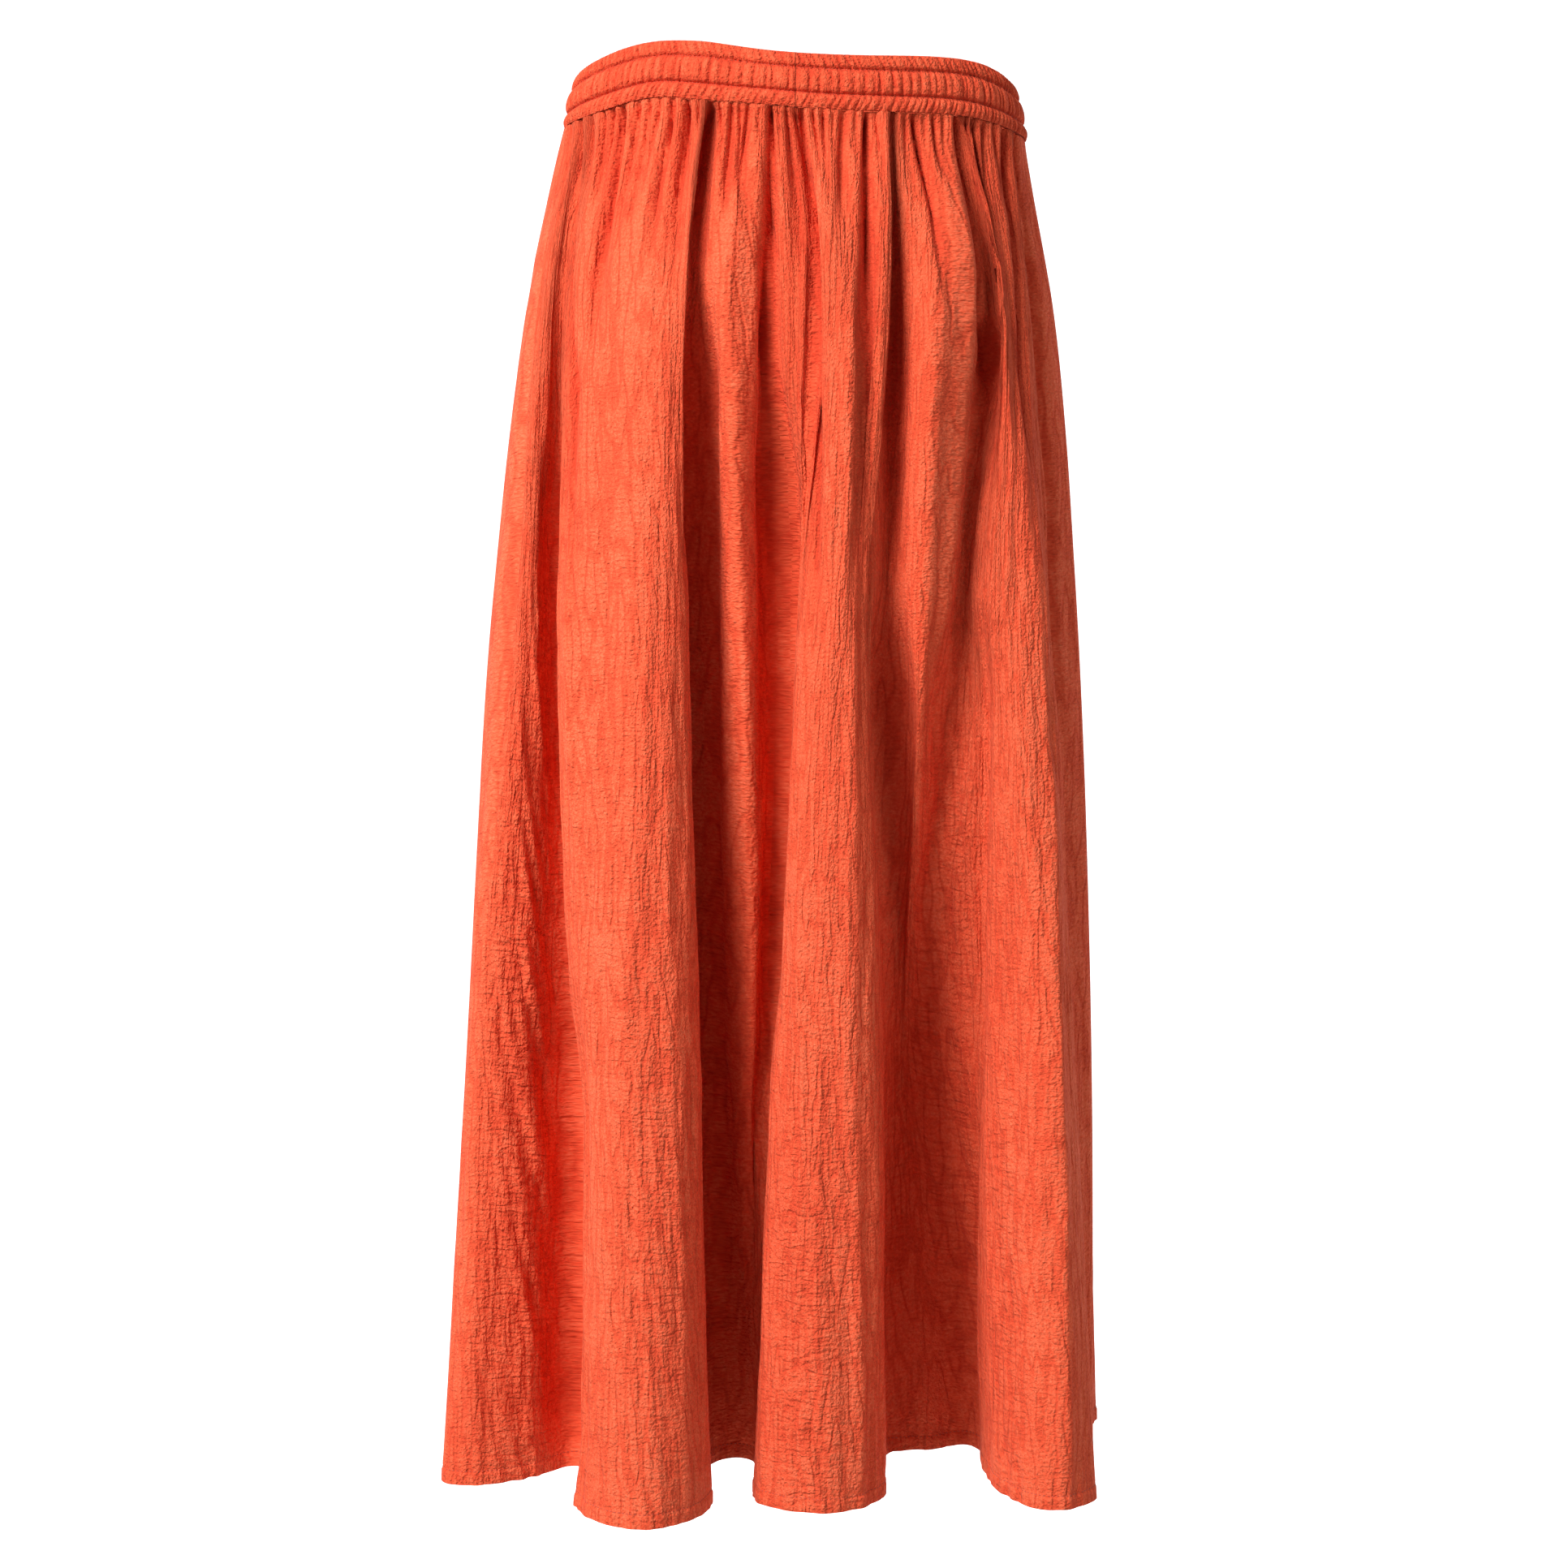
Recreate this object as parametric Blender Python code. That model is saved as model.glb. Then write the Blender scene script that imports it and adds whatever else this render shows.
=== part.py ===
"""Maxi skirt in crinkled double gauze: two gathered panels under an elasticated waistband.

The skirt hangs as it is worn, an open tube with flutes that deepen down to the hem.
Z is up, the front faces -Y, and the origin is the middle of the waistband, where the
wearer's waist holds it. Sizes in the tables are millimetres.
"""

import math

import bmesh
import bpy
import numpy as np

MM = 0.001

# Waistband: three stitched channels, widest in the middle
BAND_HEIGHT = 34.0
BAND_TOP_HALF_WIDTH = 138.0
BAND_TOP_HALF_DEPTH = 86.0
BAND_THICKNESS = 4.6
BAND_COLUMNS = 144
BAND_WRINKLE = 0.7

# Skirt: from the waist seam down to the hem
SEAM_HALF_WIDTH = 145.0
SEAM_HALF_DEPTH = 92.0
SEAM_GAP = 0.3
SKIRT_DROP = 850.0
CLOTH_WALL = 2.0

# Gathers: how wide a groove is, and how it opens below the seam that pinches it
GROOVE_HALF_WIDTH = 3.6
GROOVE_POWER = 1.3
SEAM_PINCH = 0.3
PINCH_END = 18.0
NEAREST_COLUMNS = 0.75

# Heights of the rows, as drops below the waist seam
ROW_DROPS = (0, 7, 18, 38, 66, 100, 145, 200, 260, 325, 395, 470, 550, 630, 705, 775, SKIRT_DROP)

# Levels of the fold table, as drops below the waist seam: seam, hip, thigh, calf and hem
LEVEL_DROPS = (0.0, 100.0, 300.0, 550.0, SKIRT_DROP)

# The back of the tube at each level, before its flutes
ENVELOPE = (
    # half_width, half_depth, centre_x
    (SEAM_HALF_WIDTH, SEAM_HALF_DEPTH, 0.0),
    (163.5, 118.0, -2.5),
    (184.5, 135.0, -6.5),
    (198.0, 142.0, -10.0),
    (204.0, 150.0, -14.0),
)

# Share of a back fold's full depth that it has at each level
FOLD_GROWTH = (0.0, 0.12, 0.40, 0.72, 1.0)

# Front folds from the left side seam to the right one: where each ridge or valley line
# crosses the seam, then its plan position at the hip, thigh, calf and hem
FRONT_FOLDS = (
    # name, seam_x, hip_x, hip_y, thigh_x, thigh_y, calf_x, calf_y, hem_x, hem_y
    ("left_side", -145, -166, -8, -191, -15, -206, -30, -221, -60),
    ("left_ridge", -143, -156, -52, -172, -60, -196, -58, -204, -68),
    ("left_slope", -137,-149, -59, -159, -62, -170, -58, -170, -54),
    ("left_valley", -132, -142, -54, -142, -52, -139, -44, -140, -34),
    ("wide_flute_left", -124, -135, -73, -143, -94, -136, -106, -136, -118),
    ("wide_flute_nose", -90, -102, -100, -94, -126, -101, -136, -92, -156),
    ("wide_flute_right", -58, -65, -112, -68, -119, -63, -121, -57, -126),
    ("dark_valley", -50, -57, -103, -60, -76, -58, -46, -50, -22),
    ("inner_ridge", -34, -41, -115, -33, -101, -27, -68, -33, -19),
    ("inner_valley", -18, -14, -106, -8, -86, -15, -60, -25, -38),
    ("middle_flute_left", 9, 11, -116, -1, -112, -11, -106, -22, -104),
    ("middle_flute_nose", 29, 27, -120, 20, -128, 12, -123, 12, -124),
    ("middle_flute_right", 57, 55, -112, 44, -118, 46, -111, 50, -99),
    ("broad_valley_left", 61, 63, -98, 55, -92, 60, -52, 59, -14),
    ("broad_valley_ridge", 81, 82, -106, 76, -106, 74, -44, 88, 8),
    ("broad_valley_right", 101, 117, -72, 98, -79, 88, -39, 111, 14),
    ("right_flute_left", 109, 123, -77, 117, -92, 121, -80, 126, -74),
    ("right_flute_nose", 121, 133, -66, 137, -93, 146, -106, 151, -117),
    ("right_flute_right", 133, 143, -48, 152, -72, 168, -86, 182, -101),
    ("right_valley", 137, 147, -37, 158, -42, 172, -46, 183, -50),
    ("right_side", 145, 161, -5, 178, -8, 188, -14, 190, -28),
)

# Back folds from the right side seam round to the left one, by the angle round the tube
# from the front: a flute with its nose and two shoulders, then the valley after it
RIGHT_SIDE_VALLEY = (101.0, 20.0)
BACK_FLUTES = (
    # name, nose_angle, half_width, nose_out, shoulder_out, valley_angle, valley_in
    ("back_right", 118, 8.0, 41, 15, 134, 34),
    ("back_mid_right", 146, 6.5, 2, -9, 159, 66),
    ("back_centre", 173, 6.0, 4, -9, 189, 60),
    ("back_mid_left", 204, 6.5, 0, -9, 219, 68),
    ("back_left", 232, 5.5, 3, -9, 246, 44),
    ("back_far_left", 257, 4.0, 1, -4, 265, 9),
)

# Front gathers: where each groove starts along the seam, its depth and its reach down
FRONT_GATHERS = (
    # seam_x, depth, reach
    (-140.5, 2.0, 60),
    (-132, 3.0, 100),
    (-124, 3.0, 90),
    (-116, 3.4, 110),
    (-108, 5.2, 210),
    (-101, 3.2, 80),
    (-94, 4.2, 130),
    (-88, 5.0, 150),
    (-81, 3.2, 80),
    (-74, 4.6, 200),
    (-67, 5.6, 200),
    (-50, 3.4, 120),
    (-44, 3.0, 70),
    (-38, 5.2, 140),
    (-28, 4.6, 200),
    (-18, 5.4, 320),
    (-10, 3.0, 70),
    (-3, 5.0, 190),
    (6, 5.4, 330),
    (13, 3.0, 60),
    (20, 3.4, 70),
    (31, 5.4, 150),
    (44, 5.2, 360),
    (53, 3.2, 70),
    (61, 5.2, 220),
    (67, 2.8, 60),
    (74, 5.0, 190),
    (87, 3.6, 110),
    (92, 3.2, 70),
    (101, 5.6, 200),
    (110, 3.6, 90),
    (119, 5.0, 240),
    (129, 3.6, 120),
    (137, 5.0, 260),
    (142, 3.0, 120),
)

# Back gathers run round at an even count, with these depths and reaches in turn
BACK_GATHER_COUNT = 36
BACK_GATHER_DEPTHS = (5.2, 3.2, 4.6, 3.0, 5.4, 3.8, 4.8)
BACK_GATHER_REACHES = (210, 80, 140, 70, 300, 100, 180, 90, 240, 120, 60)
BACK_GATHER_WANDER = 0.9

RUST_COTTON = (0.76, 0.105, 0.035, 1.0)
COTTON_ROUGHNESS = 0.9


def clear_scene():
    for obj in list(bpy.data.objects):
        bpy.data.objects.remove(obj)


def cloth_material(name):
    material = bpy.data.materials.new(name)
    material.use_nodes = True
    shader = material.node_tree.nodes["Principled BSDF"]
    shader.inputs["Base Color"].default_value = RUST_COTTON
    shader.inputs["Roughness"].default_value = COTTON_ROUGHNESS
    shader.inputs["Metallic"].default_value = 0.0
    return material


def smooth_step(low, high, value):
    share = min(1.0, max(0.0, (value - low) / (high - low)))
    return share * share * (3.0 - 2.0 * share)


def hermite(start, end, start_slope, end_slope, t):
    """Cubic from start to end as t goes from 0 to 1, with these slopes at its ends."""
    return (
        (2 * t**3 - 3 * t**2 + 1) * start
        + (t**3 - 2 * t**2 + t) * start_slope
        + (3 * t**2 - 2 * t**3) * end
        + (t**3 - t**2) * end_slope
    )


def ellipse_point(angle, half_width, half_depth, centre_x=0.0):
    """Plan point at an angle round the tube, 0 at the front centre and 90 at the right side."""
    turn = math.radians(angle)
    return centre_x + half_width * math.sin(turn), -half_depth * math.cos(turn)


def seam_angle(seam_x):
    """Angle of a point on the front of the seam, from its distance off the centre."""
    return math.degrees(math.asin(seam_x / SEAM_HALF_WIDTH))


def front_fold_lines():
    """(angle, plan points at each level) of every front fold line."""
    lines = []
    for name, seam_x, *levels in FRONT_FOLDS:
        angle = seam_angle(seam_x)
        seam = ellipse_point(angle, SEAM_HALF_WIDTH, SEAM_HALF_DEPTH)
        lines.append((angle, [seam, *zip(levels[0::2], levels[1::2])]))
    return lines


def back_fold_line(angle, out):
    """A back fold line that stands this far outside the envelope at the hem, or inside it."""
    points = []
    for (half_width, half_depth, centre_x), growth in zip(ENVELOPE, FOLD_GROWTH):
        grown = out * growth
        points.append(ellipse_point(angle, half_width + grown, half_depth + grown, centre_x))
    return angle, points


def back_fold_lines():
    side_angle, side_in = RIGHT_SIDE_VALLEY
    lines = [back_fold_line(side_angle, -side_in)]
    for name, nose, half_width, nose_out, shoulder_out, valley, valley_in in BACK_FLUTES:
        lines.append(back_fold_line(nose - half_width, shoulder_out))
        lines.append(back_fold_line(nose, nose_out))
        lines.append(back_fold_line(nose + half_width, shoulder_out))
        lines.append(back_fold_line(valley, -valley_in))
    return lines


def all_gathers():
    """(angle, depth, reach) of every gather round the waist seam."""
    gathers = [(seam_angle(x), depth, reach) for x, depth, reach in FRONT_GATHERS]
    step = 180.0 / BACK_GATHER_COUNT
    for k in range(BACK_GATHER_COUNT):
        angle = 90.0 + step * (k + 0.5) + BACK_GATHER_WANDER * math.sin(2.4 * k)
        depth = BACK_GATHER_DEPTHS[k % len(BACK_GATHER_DEPTHS)]
        reach = BACK_GATHER_REACHES[k % len(BACK_GATHER_REACHES)]
        gathers.append((angle, depth, reach))
    return gathers


def column_angles(lines, gathers):
    """A column on every fold line and groove, and one on the ridge between two grooves."""
    grooves = sorted(angle for angle, depth, reach in gathers)
    ridges = [(a + b) / 2 for a, b in zip(grooves, grooves[1:])]
    angles = [angle for angle, points in lines]
    for angle in grooves + ridges:
        if min(abs(angle - other) for other in angles) > NEAREST_COLUMNS:
            angles.append(angle)
    return sorted(angles)


def groove_depth(gather, angle, drop):
    """Inward depth that one gather gives at an angle round the seam and a drop below it."""
    groove_angle, depth, reach = gather
    x, y = ellipse_point(angle, SEAM_HALF_WIDTH, SEAM_HALF_DEPTH)
    groove_x, groove_y = ellipse_point(groove_angle, SEAM_HALF_WIDTH, SEAM_HALF_DEPTH)
    away = min(1.0, math.hypot(x - groove_x, y - groove_y) / GROOVE_HALF_WIDTH)
    opening = SEAM_PINCH + (1.0 - SEAM_PINCH) * smooth_step(0.0, PINCH_END, drop)
    fade = 1.0 - smooth_step(0.25 * reach, reach, drop)
    return depth * opening * fade * (1.0 - away) ** GROOVE_POWER


def point_at_drop(points, drop):
    """A fold line's plan point at a drop, on a smooth curve through its points at the levels."""
    levels = np.array(LEVEL_DROPS)
    values = np.array(points, float)
    k = int(np.clip(np.searchsorted(levels, drop) - 1, 0, len(levels) - 2))
    spans = np.diff(levels)
    rates = np.diff(values, axis=0) / spans[:, None]
    slopes = [rates[0]]
    for i in range(1, len(rates)):
        mixed = rates[i - 1] * spans[i] + rates[i] * spans[i - 1]
        slopes.append(mixed / (spans[i - 1] + spans[i]))
    slopes.append(rates[-1])
    t = (drop - levels[k]) / spans[k]
    return hermite(values[k], values[k + 1], spans[k] * slopes[k], spans[k] * slopes[k + 1], t)


def point_between(before, start, end, after, t):
    """Centripetal Catmull-Rom point between two plan points, given the ones on either side."""
    gap_before = math.dist(before, start) ** 0.5
    gap = math.dist(start, end) ** 0.5
    gap_after = math.dist(end, after) ** 0.5
    start_slope = (start - before) / gap_before - (end - before) / (gap_before + gap)
    end_slope = (after - end) / gap_after - (after - start) / (gap + gap_after)
    rate = (end - start) / gap
    return hermite(start, end, gap * (start_slope + rate), gap * (end_slope + rate), t)


def section(lines, angles, drop):
    """Plan points of the smooth tube, before the gathers, at these angles and one drop."""
    starts = [angle for angle, points in lines] + [lines[0][0] + 360.0]
    at_drop = [point_at_drop(points, drop) for angle, points in lines]
    ring = []
    for angle in angles:
        k = int(np.searchsorted(starts, angle, side="right")) - 1
        share = (angle - starts[k]) / (starts[k + 1] - starts[k])
        four = [at_drop[(k + step) % len(lines)] for step in (-1, 0, 1, 2)]
        ring.append(point_between(*four, share))
    return np.array(ring)


def outward(ring):
    """Outward plan normals of a ring that runs anticlockwise seen from above."""
    along = np.roll(ring, -1, axis=0) - np.roll(ring, 1, axis=0)
    along /= np.linalg.norm(along, axis=1)[:, None]
    return np.stack([along[:, 1], -along[:, 0]], axis=1)


def tube_rows(lines, gathers, angles):
    """Outer and inner plan points of the whole skirt, one ring for each row."""
    outer, inner = [], []
    for drop in ROW_DROPS:
        smooth = section(lines, angles, drop)
        depths = [max(groove_depth(g, angle, drop) for g in gathers) for angle in angles]
        ring = smooth - outward(smooth) * np.array(depths)[:, None]
        outer.append(ring)
        inner.append(ring - outward(ring) * CLOTH_WALL)
    return outer, inner


def drawn_in(row):
    """A row of points whose two ends are moved in along it, for half the side seam's gap."""
    row = row.copy()
    for end, inside in ((0, 1), (-1, -2)):
        step = row[inside] - row[end]
        row[end] += step / np.linalg.norm(step) * SEAM_GAP / 2
    return row


def add_object(name, shape, material):
    mesh = bpy.data.meshes.new(name)
    shape.to_mesh(mesh)
    shape.free()
    mesh.materials.append(material)
    mesh.shade_smooth()
    obj = bpy.data.objects.new(name, mesh)
    bpy.context.scene.collection.objects.link(obj)


def wall_verts(shape, rows, columns):
    """One side of a panel's wall: a row of vertices for each drop."""
    grid = []
    for drop, ring in zip(ROW_DROPS, rows):
        z = -BAND_HEIGHT / 2 - SEAM_GAP - drop
        points = drawn_in(ring[columns])
        grid.append([shape.verts.new((x * MM, y * MM, z * MM)) for x, y in points])
    return grid


def add_panel(name, columns, outer, inner, material):
    """One cloth panel: a wall between its outer and inner points, closed at every edge."""
    shape = bmesh.new()
    out = wall_verts(shape, outer, columns)
    back = wall_verts(shape, inner, columns)
    for r in range(len(ROW_DROPS) - 1):
        for c in range(len(columns) - 1):
            shape.faces.new((out[r][c], out[r + 1][c], out[r + 1][c + 1], out[r][c + 1]))
            shape.faces.new((back[r][c], back[r][c + 1], back[r + 1][c + 1], back[r + 1][c]))
        shape.faces.new((out[r][0], back[r][0], back[r + 1][0], out[r + 1][0]))
        shape.faces.new((out[r][-1], out[r + 1][-1], back[r + 1][-1], back[r][-1]))
    for c in range(len(columns) - 1):
        shape.faces.new((out[0][c], out[0][c + 1], back[0][c + 1], back[0][c]))
        shape.faces.new((out[-1][c], back[-1][c], back[-1][c + 1], out[-1][c + 1]))
    add_object(name, shape, material)


def band_profile():
    """(height, outward offset, share of the wrinkles) round the band's cut, down its outside and up its inside."""
    half = BAND_HEIGHT / 2
    inside = -BAND_THICKNESS
    return (
        (half, -0.6, 0.6),
        (half - 2.5, 1.5, 1.0),
        (half - 7.0, 1.3, 1.0),
        (half - 9.8, -0.9, 0.4),
        (half - 13.5, 1.5, 1.0),
        (half - 21.0, 1.5, 1.0),
        (half - 24.6, -0.7, 0.4),
        (half - 27.5, 1.0, 1.0),
        (-half + 2.5, 0.9, 1.0),
        (-half, -0.8, 0.4),
        (-half, inside, 0.0),
        (-half + 9.4, inside + 0.9, 0.0),
        (half - 9.8, inside + 0.9, 0.0),
        (half - 1.2, inside + 0.8, 0.0),
    )


def band_ring(height, offset, wrinkles):
    """Points round the band at one height, with the fine wrinkles that its elastic gives."""
    down = 0.5 - height / BAND_HEIGHT
    half_width = BAND_TOP_HALF_WIDTH + (SEAM_HALF_WIDTH - BAND_TOP_HALF_WIDTH) * down
    half_depth = BAND_TOP_HALF_DEPTH + (SEAM_HALF_DEPTH - BAND_TOP_HALF_DEPTH) * down
    points = []
    for k in range(BAND_COLUMNS):
        x, y = ellipse_point(360.0 * k / BAND_COLUMNS - 90.0, half_width, half_depth)
        normal = np.array([x / half_width**2, y / half_depth**2])
        normal /= np.linalg.norm(normal)
        crest = 0.5 if k % 2 else -0.5
        uneven = 1.0 + 0.35 * math.sin(1.9 * k + 0.2 * height)
        out = offset + BAND_WRINKLE * wrinkles * crest * uneven
        points.append((x + normal[0] * out, y + normal[1] * out, height))
    return points


def add_waistband(material):
    """The ring of the waistband, with its three padded channels."""
    shape = bmesh.new()
    rings = []
    for height, offset, wrinkles in band_profile():
        points = band_ring(height, offset, wrinkles)
        rings.append([shape.verts.new((x * MM, y * MM, z * MM)) for x, y, z in points])
    for upper, lower in zip(rings, rings[1:] + rings[:1]):
        for k in range(BAND_COLUMNS):
            after = (k + 1) % BAND_COLUMNS
            shape.faces.new((upper[k], lower[k], lower[after], upper[after]))
    add_object("waistband", shape, material)


def main():
    clear_scene()
    cotton = cloth_material("rust_double_gauze")
    lines = front_fold_lines() + back_fold_lines()
    gathers = all_gathers()
    angles = column_angles(lines, gathers)
    outer, inner = tube_rows(lines, gathers, angles)
    right_side = angles.index(seam_angle(SEAM_HALF_WIDTH))
    add_panel("front_panel", list(range(right_side + 1)), outer, inner, cotton)
    add_panel("back_panel", list(range(right_side, len(angles))) + [0], outer, inner, cotton)
    add_waistband(cotton)


main()
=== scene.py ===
import math
import bmesh
import bpy
import numpy as np
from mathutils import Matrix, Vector


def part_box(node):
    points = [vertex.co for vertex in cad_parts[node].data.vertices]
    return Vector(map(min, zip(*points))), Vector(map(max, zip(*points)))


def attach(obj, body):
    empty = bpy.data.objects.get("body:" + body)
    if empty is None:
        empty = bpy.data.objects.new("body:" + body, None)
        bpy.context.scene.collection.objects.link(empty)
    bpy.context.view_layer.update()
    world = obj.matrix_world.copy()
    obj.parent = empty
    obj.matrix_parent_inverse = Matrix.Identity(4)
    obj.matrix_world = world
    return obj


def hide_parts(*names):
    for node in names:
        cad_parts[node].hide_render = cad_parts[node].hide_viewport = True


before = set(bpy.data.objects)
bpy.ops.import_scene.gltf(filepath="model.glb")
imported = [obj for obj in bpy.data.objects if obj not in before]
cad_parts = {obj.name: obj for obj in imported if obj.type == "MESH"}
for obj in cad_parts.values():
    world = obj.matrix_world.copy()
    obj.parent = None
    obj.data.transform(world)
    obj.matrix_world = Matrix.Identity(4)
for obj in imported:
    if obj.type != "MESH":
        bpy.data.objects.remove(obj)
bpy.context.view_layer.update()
mm = 0.001


# camera: a level look at the thighs from 1.9 m, tipped down a little
view = {
    "lens": 70,
    "place": (-0.0072, -1.94, -0.2946),
    "tilt": 85.95,          # 90 would be level
}
cameraData = bpy.data.cameras.new("camera")
cameraData.lens = view["lens"]
cameraData.sensor_width = 36
camera = bpy.data.objects.new("camera", cameraData)
camera.location = view["place"]
camera.rotation_euler = (math.radians(view["tilt"]), 0, 0)
bpy.context.scene.collection.objects.link(camera)
bpy.context.scene.camera = camera
bpy.context.scene.view_settings.view_transform = "Standard"


# small helpers
def smooth(t):
    t = np.clip(t, 0, 1)
    return t * t * (3 - 2 * t)


def softNoise(seed, across, down):      # smooth relief from -1 to 1, a new value each whole step
    lattice = np.random.default_rng(seed).uniform(-1, 1, (512, 512))
    i = np.floor(across).astype(int)
    j = np.floor(down).astype(int)
    s = smooth(across - i)
    t = smooth(down - j)
    near = lattice[i % 512, j % 512] * (1 - s) + lattice[(i + 1) % 512, j % 512] * s
    far = lattice[i % 512, (j + 1) % 512] * (1 - s) + lattice[(i + 1) % 512, (j + 1) % 512] * s
    return near * (1 - t) + far * t


def curveThrough(knots, values, at):    # smooth curve through values at rising knots, read at new places
    slope = np.gradient(values, knots, axis=0)
    k = np.clip(np.searchsorted(knots, at, side="right") - 1, 0, len(knots) - 2)
    width = (knots[k + 1] - knots[k]).reshape((-1,) + (1,) * (values.ndim - 1))
    t = ((at - knots[k]) / (knots[k + 1] - knots[k])).reshape(width.shape)
    start = values[k] * (1 + 2 * t) * (1 - t) ** 2 + slope[k] * width * t * (1 - t) ** 2
    end = values[k + 1] * t * t * (3 - 2 * t) + slope[k + 1] * width * t * t * (t - 1)
    return start + end


def softened(ring, width):              # evens out a closed ring over a width given in columns
    waves = np.fft.fftfreq(len(ring))[:, None]
    return np.fft.ifft(np.fft.fft(ring, axis=0) * np.exp(-2 * (np.pi * waves * width) ** 2), axis=0).real


def outwardOf(grid, closed=False):      # unit normals of a grid of rows (downwards) and columns (round)
    if closed:
        across = np.roll(grid, -1, axis=1) - np.roll(grid, 1, axis=1)
    else:
        across = np.gradient(grid, axis=1)
    down = np.gradient(grid, axis=0)
    normals = np.cross(down, across)
    return normals / np.maximum(np.linalg.norm(normals, axis=2, keepdims=True), 1e-12)


# the CAD panels' outer faces, read back as rows of points
def panelRows(node, fromLeft):
    shape = bmesh.new()
    shape.from_mesh(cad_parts[node].data)
    bmesh.ops.remove_doubles(shape, verts=shape.verts, dist=0.02 * mm)
    rims = [f for f in shape.faces if len({round(v.co.z, 4) for v in f.verts}) == 1]
    bmesh.ops.delete(shape, geom=rims, context="FACES")
    shape.verts.index_update()
    levels = sorted({round(v.co.z, 4) for v in shape.verts}, reverse=True)
    rows = []
    for level in levels:
        here = {v for v in shape.verts if round(v.co.z, 4) == level}
        walk = [min(here, key=lambda v: v.index)]
        while True:
            steps = sorted((e.other_vert(walk[-1]) for e in walk[-1].link_edges), key=lambda v: v.index)
            onward = [v for v in steps if v in here and v not in walk[-2:] and v is not walk[0]]
            if not onward or len(walk) >= len(here):
                break
            walk.append(onward[0])
        loop = np.array([v.co for v in walk])[:, :2]
        rows.append(outerHalf(loop, fromLeft))
    shape.free()
    return np.array(levels), np.array(rows)


def outerHalf(loop, fromLeft):          # the outer of the two faces of a wall's closed section
    half = len(loop) // 2
    step = np.arange(half)
    gaps = [np.linalg.norm(loop[(s + step) % len(loop)] - loop[s - 1 - step], axis=1).sum() for s in step]
    turned = np.roll(loop, -int(np.argmin(gaps)), axis=0)
    faces = [turned[:half], turned[half:][::-1]]
    areas = [abs(np.sum(f[:, 0] * np.roll(f[:, 1], 1) - f[:, 1] * np.roll(f[:, 0], 1))) for f in faces]
    outer = faces[int(np.argmax(areas))]
    return outer if (outer[0, 0] < outer[-1, 0]) == fromLeft else outer[::-1]


levels, frontRows = panelRows("front_panel", True)
levels, backRows = panelRows("back_panel", False)
cadDrops = (levels[0] - levels) / mm
print("CAD panels read:", frontRows.shape, backRows.shape)


# the skirt's cloth as one ring of columns, 481 to a panel, from the waist seam to the hem
skirt = {
    "columns": 480,                     # 2 mm apart at the hem
    "rows": (0, 8, 24, 162, 174),       # row numbers, closer together at the seam and the hem
    "rowDrops": (0, 12, 60, 833, 850),  # mm that those rows lie below the waist seam
    "cloth": 1.4,                       # mm, two layers of gauze with their loft
    "evenOut": 4.5,                     # mm, takes the CAD's coarse gathers out
    "evenOutEnd": 260,                  # mm below the seam
}
drops = np.interp(np.arange(skirt["rows"][-1] + 1), skirt["rows"], skirt["rowDrops"])


def denseRing():
    count = skirt["columns"] + 1
    ring = np.concatenate([frontRows, backRows], axis=1)
    total = ring.shape[1]
    split = frontRows.shape[1]
    padded = np.concatenate([ring[:, -4:], ring, ring[:, :4]], axis=1)
    steps = np.linalg.norm(np.diff(padded, axis=1), axis=2)
    arc = np.concatenate([np.zeros((len(ring), 1)), np.cumsum(steps, axis=1)], axis=1)
    share = (arc[6:] / arc[6:, -1:]).mean(axis=0)
    places = []
    for first, last in ((4, split + 3), (split + 4, total + 3)):
        even = np.linspace(share[first], share[last], count)
        places.append(np.interp(even, share, np.arange(len(share))))
    places = np.concatenate(places)
    rows = []
    for points, length in zip(padded, arc):
        rows.append(curveThrough(length, points, np.interp(places, np.arange(len(length)), length)))
    rows = curveThrough(cadDrops, np.array(rows), drops)
    even = skirt["evenOut"] * (1 - smooth(drops / skirt["evenOutEnd"]))
    for r, width in enumerate(even):
        around = np.linalg.norm(np.roll(rows[r], -1, axis=0) - rows[r], axis=1).sum() / mm
        rows[r] = softened(rows[r], width * rows.shape[1] / around)
    z = np.broadcast_to((levels[0] - drops * mm)[:, None, None], rows.shape[:2] + (1,))
    return np.concatenate([rows, z], axis=2)


base = denseRing()
normals = outwardOf(base, closed=True)
stepLengths = np.linalg.norm(np.diff(base, axis=1), axis=2)
arcs = np.concatenate([np.zeros((len(base), 1)), np.cumsum(stepLengths, axis=1)], axis=1) / mm
clothAcross = arcs[-1]                  # mm across the cloth, as at the hem
halfWidth = np.abs(base[0, :, 0]).max()
halfDepth = np.abs(base[0, :, 1]).max()
seamAngles = np.degrees(np.arctan2(base[0, :, 0] / halfWidth, -base[0, :, 1] / halfDepth))
seamAngles = np.where(np.arange(len(seamAngles)) > skirt["columns"], seamAngles % 360, seamAngles)
print("cloth round the hem:", round(clothAcross[-1]), "mm")


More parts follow.
